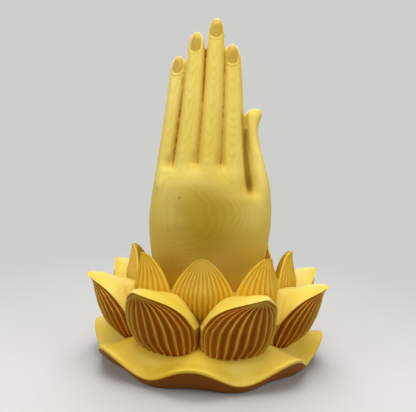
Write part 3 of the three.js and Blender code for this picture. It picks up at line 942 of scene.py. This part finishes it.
def boxwood(name, look, place, turn, golden, layering):
    """Boxwood with growth layers, fine grain, painted shade where it is carved in, the darker knot and
    nails, and a wax shine.

    Place and turn set where the piece lies in the log, golden how much of it is the deeper yellow,
    and layering how plain its growth layers are."""
    material = bpy.data.materials.new(name)
    material.use_nodes = True
    tree = material.node_tree
    shader = tree.nodes["Principled BSDF"]

    def math_node(operation, *values):
        return add_node(tree, "ShaderNodeMath", dict(enumerate(values)), operation=operation).outputs[0]

    def mix(share, first, second, blend="MIX"):
        inputs = dict(zip(MIX_INPUTS, (share, first, second)))
        made = add_node(tree, "ShaderNodeMix", inputs, data_type="RGBA", blend_type=blend)
        return made.outputs[MIX_OUTPUT]

    def cloud(vector, scale, detail):
        inputs = {"Vector": vector, "Scale": scale, "Detail": detail}
        return add_node(tree, "ShaderNodeTexNoise", inputs).outputs["Fac"]

    def mark(attribute):
        return add_node(tree, "ShaderNodeAttribute", {}, attribute_name=attribute).outputs["Fac"]

    coordinates = add_node(tree, "ShaderNodeTexCoord", {}).outputs["Object"]
    inputs = {"Vector": coordinates, "Location": place, "Rotation": turn}
    log = add_node(tree, "ShaderNodeMapping", inputs).outputs["Vector"]

    flat = add_node(tree, "ShaderNodeVectorMath", {0: log, 1: ACROSS_LOG}, operation="MULTIPLY")
    from_pith = add_node(tree, "ShaderNodeVectorMath", {0: flat.outputs[0]}, operation="LENGTH")
    wander = math_node("MULTIPLY", cloud(log, *WANDER_CLOUD), RING_WANDER)
    layers = math_node("ADD", from_pith.outputs["Value"], wander)
    ring = math_node("FRACT", math_node("MULTIPLY", layers, 1 / look.ring_pitch))
    ring_tone = math_node("POWER", math_node("MULTIPLY", math_node("PINGPONG", ring, 0.5), 2), 2)

    streak_map = add_node(tree, "ShaderNodeMapping", {"Vector": log, "Scale": STREAK_SCALE})
    streaks = cloud(streak_map.outputs["Vector"], *STREAK_CLOUD)
    broad = cloud(log, *BROAD_CLOUD)

    patches = math_node("ADD", math_node("MULTIPLY", broad, PATCH_CONTRAST), golden - PATCH_CONTRAST / 2)
    colour = mix(patches, opaque(look.pale), opaque(look.gold))
    # Deeper painted shade on the back of the hand, in the grooves and creases, and the nails' darker tint
    colour = mix(mark("toned"), colour, opaque(look.deep))
    late_wood = opaque(look.ring)
    faint = math_node("MULTIPLY", cloud(log, *FAINT_CLOUD), look.ring_strength * layering)
    colour = mix(math_node("MULTIPLY", ring_tone, faint), colour, late_wood, "MULTIPLY")
    colour = mix(math_node("MULTIPLY", streaks, STREAK_TONE), colour, late_wood, "MULTIPLY")
    # Painted shade in flutes, slits, grooves, under rims and at the wrist, laid on twice; it also darkens
    # the knot and the nails
    carved = mark("carved")
    darker = math_node("MULTIPLY", carved, look.painted_shade_strength)
    for _ in range(2):
        colour = mix(darker, colour, opaque(look.painted_shade_colour), "MULTIPLY")
    tree.links.new(colour, shader.inputs["Base Color"])

    duller = math_node("MULTIPLY", carved, look.recess_roughness - look.roughness)
    even = look.roughness - STREAK_ROUGHNESS / 2
    uneven = math_node("ADD", math_node("MULTIPLY", streaks, STREAK_ROUGHNESS), even)
    tree.links.new(math_node("ADD", uneven, duller), shader.inputs["Roughness"])
    shader.inputs["Specular IOR Level"].default_value = look.sheen
    shader.inputs["Coat Weight"].default_value = look.wax
    shader.inputs["Coat Roughness"].default_value = WAX_ROUGHNESS
    dents = math_node("MULTIPLY", cloud(log, *DENT_CLOUD), DENT_RELIEF)
    relief = math_node("ADD", math_node("MULTIPLY", streaks, STREAK_RELIEF), dents)
    inputs = {"Height": relief, "Strength": RELIEF_STRENGTH, "Distance": RELIEF_HEIGHT}
    bump = add_node(tree, "ShaderNodeBump", inputs)
    tree.links.new(bump.outputs["Normal"], shader.inputs["Normal"])
    return material


# Settings, with lengths in metres where a unit is given and in millimetres elsewhere

class WoodLook(bpy.types.PropertyGroup):
    """Colours and finish of the boxwood, with the colours of its painted shade."""
    pale: FloatVectorProperty(name="Pale wood", description="Colour of the palest wood",
                              default=(0.89, 0.72, 0.175), subtype="COLOR", min=0, max=1)
    gold: FloatVectorProperty(name="Golden wood", description="Colour of the deeper yellow wood",
                              default=(0.76, 0.53, 0.03), subtype="COLOR", min=0, max=1)
    ring: FloatVectorProperty(name="Late wood", description="Tint of growth layers and streaks",
                              default=(0.62, 0.52, 0.3), subtype="COLOR", min=0, max=1)
    # Colour of the deeper painted shade on the back of the hand and in its grooves and creases; the nails
    # take it too
    deep: FloatVectorProperty(name="Deeper wood", description="Colour of the lower back of the hand",
                              default=(0.39, 0.26, 0.015), subtype="COLOR", min=0, max=1)
    # Colour of the painted shade, and how strongly it is laid on; the knot and the nails take it too
    painted_shade_colour: FloatVectorProperty(name="Carved recess", description="Tint of grooves, laid on twice",
                                default=(0.7, 0.42, 0.06), subtype="COLOR", min=0, max=1)
    painted_shade_strength: FloatProperty(name="Recess strength", description="How dark grooves turn",
                                   default=1.0, min=0, max=1, subtype="FACTOR")
    recess_roughness: FloatProperty(name="Recess roughness", description="Roughness deep in a groove",
                                    default=0.85, min=0.1, max=1, subtype="FACTOR")
    ring_pitch: FloatProperty(name="Ring pitch", description="Distance between growth layers",
                              default=0.0009, min=0.0002, max=0.01, unit="LENGTH")
    ring_strength: FloatProperty(name="Ring strength", description="How plain the growth layers show",
                                 default=0.4, min=0, max=1, subtype="FACTOR")
    roughness: FloatProperty(name="Roughness", description="Roughness of the polished wood",
                             default=0.46, min=0.1, max=1, subtype="FACTOR")
    wax: FloatProperty(name="Wax", description="Strength of the wax shine", default=0.1, min=0,
                       max=1, subtype="FACTOR")
    sheen: FloatProperty(name="Sheen of the wood", description="Strength of the wood's own shine",
                         default=0.16, min=0, max=1, subtype="FACTOR")


class PetalSettings(bpy.types.PropertyGroup):
    """Sizes and counts of the marks on the petals."""
    flutes: IntProperty(name="Flutes", description="Flutes across an outer petal", default=12,
                        min=4, max=24)
    flute_depth: FloatProperty(name="Flute depth", description="Depth factor of the outer flutes",
                               default=1.0, min=0, max=2, subtype="FACTOR")
    crest: FloatProperty(name="Crest", description="Share of a flute that its uncut crest takes",
                         default=0.07, min=0, max=0.5, subtype="FACTOR")
    lip_width: FloatProperty(name="Lip width", description="Width of an outer petal's plain lip, mm",
                             default=1.3, min=0, max=5)
    lip_step: FloatProperty(name="Lip step", description="How far the flutes lie below that lip, mm",
                            default=0.8, min=0, max=3)
    lip_swell: FloatProperty(name="Lip swell", description="How far the lip stands out, mm",
                             default=0.25, min=0, max=2)
    lip_round: FloatProperty(name="Lip rounding", description="Reach of the lip's rounding, mm",
                             default=0.9, min=0, max=4)
    ribs: IntProperty(name="Ribs", description="Ribs across an inner petal", default=12, min=4, max=24)
    rib_depth: FloatProperty(name="Rib depth", description="Depth factor of the inner ribs",
                             default=0.8, min=0, max=2, subtype="FACTOR")
    # Painted shade in the grooves between the ribs
    painted_rib_shade: FloatProperty(name="Rib tone", description="How much darker the grooves between ribs are",
                            default=0.36, min=0, max=1, subtype="FACTOR")
    rim_band: FloatProperty(name="Rim band", description="Width of the plain rim of an inner petal, mm",
                            default=0.9, min=0, max=4)
    rim_step: FloatProperty(name="Rim step", description="How far the ribs lie below that rim, mm",
                            default=0.35, min=0, max=2)
    rim_thickness: FloatProperty(name="Rim thickness", description="Thickness of that rim, mm",
                                 default=1.1, min=0.3, max=4)
    keel: FloatProperty(name="Keel", description="Sharpness of an inner petal's middle, 1 is sharp",
                        default=1.25, min=1, max=2)
    petal_rows: IntProperty(name="Rows", description="Rows of faces between an outer petal's stations",
                            default=12, min=2, max=40)
    petal_columns: IntProperty(name="Columns", description="Columns of faces across an outer petal",
                               default=180, min=24, max=300)


class HandSettings(bpy.types.PropertyGroup):
    """Sizes of the marks on the hand, their painted shade and the nails' tone."""
    voxel: FloatProperty(name="Skin step", description="Size of the faces of the hand's skin, mm",
                         default=0.75, min=0.3, max=3)
    blend_heights: FloatVectorProperty(name="Blend heights", default=(88, 119), size=2,
                                       description="Where fingers and palm run together, mm")
    finger_groove: FloatProperty(name="Finger groove", description="Depth of a full line, mm",
                                 default=1.0, min=0, max=4)
    chatter: FloatProperty(name="Chatter", description="Unevenness of that line, mm", default=0.3, min=0,
                           max=2)
    chatter_pitch: FloatProperty(name="Chatter pitch", description="Knife marks for each mm of that line",
                                 default=0.45, min=0.05, max=3)
    # Deeper painted shade across a groove between two fingers
    painted_groove_shade: FloatProperty(name="Groove tone", description="How much deeper the wood is in a groove",
                               default=0.28, min=0, max=1, subtype="FACTOR")
    scoop: FloatProperty(name="Scoop", description="Depth cut at the foot of each groove, mm",
                         default=1.5, min=0, max=3)
    thumb_groove: FloatProperty(name="Thumb groove", description="Depth cut beside the thumb, mm",
                                default=1.7, min=0, max=5)
    nail_depth: FloatProperty(name="Nail depth", description="How far the nails are cut in, mm",
                              default=0.8, min=0, max=2)
    nail_tone: FloatProperty(name="Nail tone", description="How much darker the nails are", default=0.55,
                             min=0, max=1, subtype="FACTOR")
    # Painted shade on the back of the hand below the knuckles
    painted_back_shade: FloatProperty(name="Back tone", description="How much deeper the back of the hand is",
                             default=1.0, min=0, max=1, subtype="FACTOR")
    # Painted shade on the wrist down in the lotus
    painted_wrist_shade: FloatProperty(name="Wrist tone", description="How dark the wrist is in the lotus",
                              default=1.0, min=0, max=1, subtype="FACTOR")
    nail_lean: FloatProperty(name="Nail lean", description="How far a nail leans back for each mm up",
                             default=0.07, min=-0.5, max=0.5)
    nail_curve: FloatProperty(name="Nail curve", description="Roundness of a nail from side to side, mm",
                              default=11, min=2, max=100)
    cuticle: FloatProperty(name="Cuticle", description="Height of the fold under a nail, mm",
                           default=0.25, min=0, max=1)


class StageSettings(bpy.types.PropertyGroup):
    """Camera, floor, backdrop and lamps."""
    aim: FloatVectorProperty(name="Aim", description="Point that the camera turns about",
                             default=(0, 0, 0.095), subtype="XYZ", unit="LENGTH")
    distance: FloatProperty(name="Distance", description="From the camera to that point",
                            default=0.27, min=0.05, max=5, unit="LENGTH")
    elevation: FloatProperty(name="Elevation", description="How far the camera looks down",
                             default=math.radians(1.2), subtype="ANGLE")
    azimuth: FloatProperty(name="Azimuth", description="How far the camera stands to the right",
                           default=math.radians(-2.07), subtype="ANGLE")
    roll: FloatProperty(name="Roll", description="Tilt of the picture", default=math.radians(2.2),
                        subtype="ANGLE")
    lens: FloatProperty(name="Lens", description="Focal length", default=39.12, min=10, max=200,
                        unit="CAMERA")
    floor: FloatVectorProperty(name="Floor", description="Colour of the floor as it is seen",
                               default=(0.62, 0.62, 0.61), subtype="COLOR", min=0, max=1)
    floor_bounce: FloatVectorProperty(name="Floor bounce", description="Colour the floor throws back",
                                      default=(0.10, 0.07, 0.05), subtype="COLOR", min=0, max=1)
    backdrop: FloatVectorProperty(name="Backdrop", description="Colour of the backdrop",
                                  default=(0.62, 0.62, 0.61), subtype="COLOR", min=0, max=1)
    fade: FloatVectorProperty(name="Fade", description="Where the floor starts and ends turning plain",
                              default=(0.1, 0.45), size=2, unit="LENGTH")
    key_light: FloatProperty(name="Key light", description="Power of the lamp above", default=1.3,
                             min=0, max=100, unit="POWER")
    top_light: FloatProperty(name="Top light", description="Power of the broad lamp overhead",
                             default=5.4, min=0, max=100, unit="POWER")
    side_light: FloatProperty(name="Side light", description="Power of each lamp at the sides",
                              default=1.55, min=0, max=100, unit="POWER")
    back_light: FloatProperty(name="Back light", description="Power of the lamp on the palm's side",
                              default=1.6, min=0, max=100, unit="POWER")
    world_light: FloatProperty(name="World light", description="Strength of the light from all round",
                               default=0.14, min=0, max=5)


# Operators

def settings_of(context):
    scene = context.scene
    return scene.lotus_petals, scene.lotus_wood, scene.lotus_hand, scene.lotus_stage


def finish_petal(bm, look, marks, ring, number, turn):
    """Turns a petal to its place in its ring and makes it of wood of its own."""
    bmesh.ops.rotate(bm, verts=bm.verts, cent=(0, 0, 0), matrix=Matrix.Rotation(turn, 3, "Z"))
    first, step, lean, golden = PETAL_WOOD[ring]
    place = Vector(first) + (number - 1) * Vector(step)
    material = boxwood(f"{ring}_petal_wood_{number}", look, place, (*lean, turn), golden, PETAL_LAYERING)
    node = f"{ring}_petal_{number}"
    finish_piece(bm, f"{marks}_{node}", material, node)


class LOTUS_OT_outer_petals(bpy.types.Operator):
    """Carves the eight outer petals with their flutes and smooth tops"""
    bl_idname = "lotus.outer_petals"
    bl_label = "Outer Petals"

    def execute(self, context):
        petals, wood, _, _ = settings_of(context)
        pattern = outer_petal(petals)
        for k, lean in enumerate(TIP_LEAN):
            bm = pattern.copy()
            lean_sideways(bm, lean)
            finish_petal(bm, wood, "fluted", "outer", k + 1, FIRST_OUTER + k * STEP)
        pattern.free()
        return {"FINISHED"}


class LOTUS_OT_inner_petals(bpy.types.Operator):
    """Carves the eight inner petals with their ribs and thin rims"""
    bl_idname = "lotus.inner_petals"
    bl_label = "Inner Petals"

    def execute(self, context):
        petals, wood, _, _ = settings_of(context)
        pattern = inner_petal(petals)
        for k in range(PETALS):
            finish_petal(pattern.copy(), wood, "ribbed", "inner", k + 1, FIRST_INNER + k * STEP)
        pattern.free()
        return {"FINISHED"}


class LOTUS_OT_leaf(bpy.types.Operator):
    """Carves the wavy leaf under the lotus"""
    bl_idname = "lotus.leaf"
    bl_label = "Leaf"

    def execute(self, context):
        _, wood, _, _ = settings_of(context)
        bm = bmesh.new()
        columns, rows = LEAF_FACES
        place_grid(bm, PETALS * columns, rows, lambda u, v: leaf_point(2 * math.pi * u, v))
        close_up(bm, SEAM)
        finish_piece(bm, "wavy_leaf", boxwood("leaf_wood", wood, *LEAF_WOOD), "leaf_base")
        return {"FINISHED"}


class LOTUS_OT_hand(bpy.types.Operator):
    """Carves the hand with its nails and the grooves between the fingers"""
    bl_idname = "lotus.hand"
    bl_label = "Hand"

    def execute(self, context):
        _, wood, hand, _ = settings_of(context)
        bm = hand_blank(hand)
        carve_hand(bm, hand)
        finish_piece(bm, "carved_hand", boxwood("hand_wood", wood, *HAND_WOOD), "hand")
        return {"FINISHED"}


class LOTUS_OT_hidden_parts(bpy.types.Operator):
    """Gives the core and the dowel their wood"""
    bl_idname = "lotus.hidden_parts"
    bl_label = "Core and Dowel"

    def execute(self, context):
        _, wood, _, _ = settings_of(context)
        for node in ("lotus_core", "hand_dowel"):
            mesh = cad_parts[node].data
            mesh.materials.clear()
            mesh.materials.append(boxwood(f"{node}_wood", wood, *HIDDEN_WOOD))
        return {"FINISHED"}


class LOTUS_OT_stage(bpy.types.Operator):
    """Lays the floor, hangs the lamps and sets up the camera"""
    bl_idname = "lotus.stage"
    bl_label = "Stage"

    def execute(self, context):
        _, _, _, stage = settings_of(context)
        scene = context.scene
        scene.view_settings.view_transform = "Standard"
        bm = bmesh.new()
        bmesh.ops.create_grid(bm, x_segments=1, y_segments=1, size=FLOOR_SIZE)
        floor = mesh_object(bm, "floor")
        floor.data.transform(Matrix.Translation((0, 0, -FLOOR_DROP)))
        floor.data.materials.append(floor_material(stage))
        light_world(scene, stage)
        for name, place, size, power, aim in LAMPS:
            add_lamp(name, place, size, getattr(stage, power), (0, 0, aim))
        set_camera(scene, stage)
        return {"FINISHED"}


def show_backdrop(tree, lit, seen, output):
    """Lights the object with one shader and shows the other where it is looked at, straight or in a
    gloss or a glass."""
    path = add_node(tree, "ShaderNodeLightPath", {})
    looked_at = path.outputs["Is Camera Ray"]
    for name in ("Is Glossy Ray", "Is Transmission Ray"):
        inputs = {0: looked_at, 1: path.outputs[name]}
        looked_at = add_node(tree, "ShaderNodeMath", inputs, operation="MAXIMUM").outputs[0]
    choose = add_node(tree, "ShaderNodeMixShader", {0: looked_at, 1: lit, 2: seen})
    tree.links.new(choose.outputs[0], tree.nodes[output].inputs["Surface"])


def floor_material(stage):
    """A pale floor that keeps the shadow near the object and runs into the backdrop far from it."""
    material = bpy.data.materials.new("floor")
    material.use_nodes = True
    tree = material.node_tree
    shader = tree.nodes["Principled BSDF"]
    shader.inputs["Base Color"].default_value = opaque(stage.floor)
    shader.inputs["Roughness"].default_value = FLOOR_ROUGHNESS
    shader.inputs["Specular IOR Level"].default_value = FLOOR_SHEEN
    dim = add_node(tree, "ShaderNodeBsdfDiffuse", {"Color": opaque(stage.floor_bounce)})
    plain = add_node(tree, "ShaderNodeEmission", {"Color": opaque(stage.backdrop)})
    place = add_node(tree, "ShaderNodeTexCoord", {}).outputs["Object"]
    distance = add_node(tree, "ShaderNodeVectorMath", {0: place}, operation="LENGTH").outputs["Value"]
    inputs = {"Value": distance, "From Min": stage.fade[0], "From Max": stage.fade[1]}
    fade = add_node(tree, "ShaderNodeMapRange", inputs, interpolation_type="SMOOTHSTEP").outputs["Result"]
    shown = add_node(tree, "ShaderNodeMixShader", {0: fade, 1: shader.outputs[0], 2: plain.outputs[0]})
    show_backdrop(tree, dim.outputs[0], shown.outputs[0], "Material Output")
    return material


def light_world(scene, stage):
    world = bpy.data.worlds.new("studio")
    scene.world = world
    world.use_nodes = True
    tree = world.node_tree
    soft = tree.nodes["Background"]
    soft.inputs["Color"].default_value = SOFT_LIGHT
    soft.inputs["Strength"].default_value = stage.world_light
    shown = add_node(tree, "ShaderNodeBackground", {"Color": opaque(stage.backdrop)})
    show_backdrop(tree, soft.outputs[0], shown.outputs[0], "World Output")


def add_lamp(name, place, size, power, aim):
    lamp = bpy.data.lights.new(name, "AREA")
    lamp.size = size
    lamp.energy = power
    holder = bpy.data.objects.new(name, lamp)
    holder.location = place
    holder.rotation_euler = (Vector(aim) - Vector(place)).to_track_quat("-Z", "Y").to_euler()
    bpy.context.scene.collection.objects.link(holder)


def set_camera(scene, stage):
    level = Vector((math.sin(stage.azimuth), -math.cos(stage.azimuth), 0))
    back = level * math.cos(stage.elevation) + Vector((0, 0, math.sin(stage.elevation)))
    right = (-back).cross(Vector((0, 0, 1))).normalized()
    up = right.cross(-back)
    turned_right = right * math.cos(stage.roll) + up * math.sin(stage.roll)
    turned_up = up * math.cos(stage.roll) - right * math.sin(stage.roll)
    place = Vector(stage.aim) + back * stage.distance
    camera = bpy.data.cameras.new("camera")
    camera.sensor_width = SENSOR
    camera.lens = stage.lens
    camera.shift_x, camera.shift_y = PICTURE_SHIFT
    camera.clip_start = NEAREST_SEEN
    holder = bpy.data.objects.new("camera", camera)
    scene.collection.objects.link(holder)
    columns = Matrix((turned_right, turned_up, back)).transposed()
    holder.matrix_world = Matrix.Translation(place) @ columns.to_4x4()
    scene.camera = holder


class LOTUS_PT_panel(bpy.types.Panel):
    """Lists the settings and the pieces"""
    bl_idname = "LOTUS_PT_panel"
    bl_label = "Lotus Hand"
    bl_space_type = "VIEW_3D"
    bl_region_type = "UI"
    bl_category = "Lotus Hand"

    def draw(self, context):
        layout = self.layout
        for group in settings_of(context):
            box = layout.box()
            for name in group.__annotations__:
                box.prop(group, name)
        for operator in OPERATORS:
            layout.operator(operator.bl_idname)


OPERATORS = (LOTUS_OT_stage, LOTUS_OT_leaf, LOTUS_OT_hidden_parts, LOTUS_OT_outer_petals,
             LOTUS_OT_inner_petals, LOTUS_OT_hand)
GROUPS = {"lotus_petals": PetalSettings, "lotus_wood": WoodLook, "lotus_hand": HandSettings,
          "lotus_stage": StageSettings}


def register():
    for name, group in GROUPS.items():
        bpy.utils.register_class(group)
        setattr(bpy.types.Scene, name, PointerProperty(type=group))
    for each in (*OPERATORS, LOTUS_PT_panel):
        bpy.utils.register_class(each)


def unregister():
    for each in (LOTUS_PT_panel, *reversed(OPERATORS)):
        bpy.utils.unregister_class(each)
    for name, group in GROUPS.items():
        delattr(bpy.types.Scene, name)
        bpy.utils.unregister_class(group)


def main():
    register()
    bpy.ops.lotus.stage()
    bpy.ops.lotus.leaf()
    bpy.ops.lotus.hidden_parts()
    bpy.ops.lotus.outer_petals()
    bpy.ops.lotus.inner_petals()
    bpy.ops.lotus.hand()


if __name__ == "__main__":
    main()
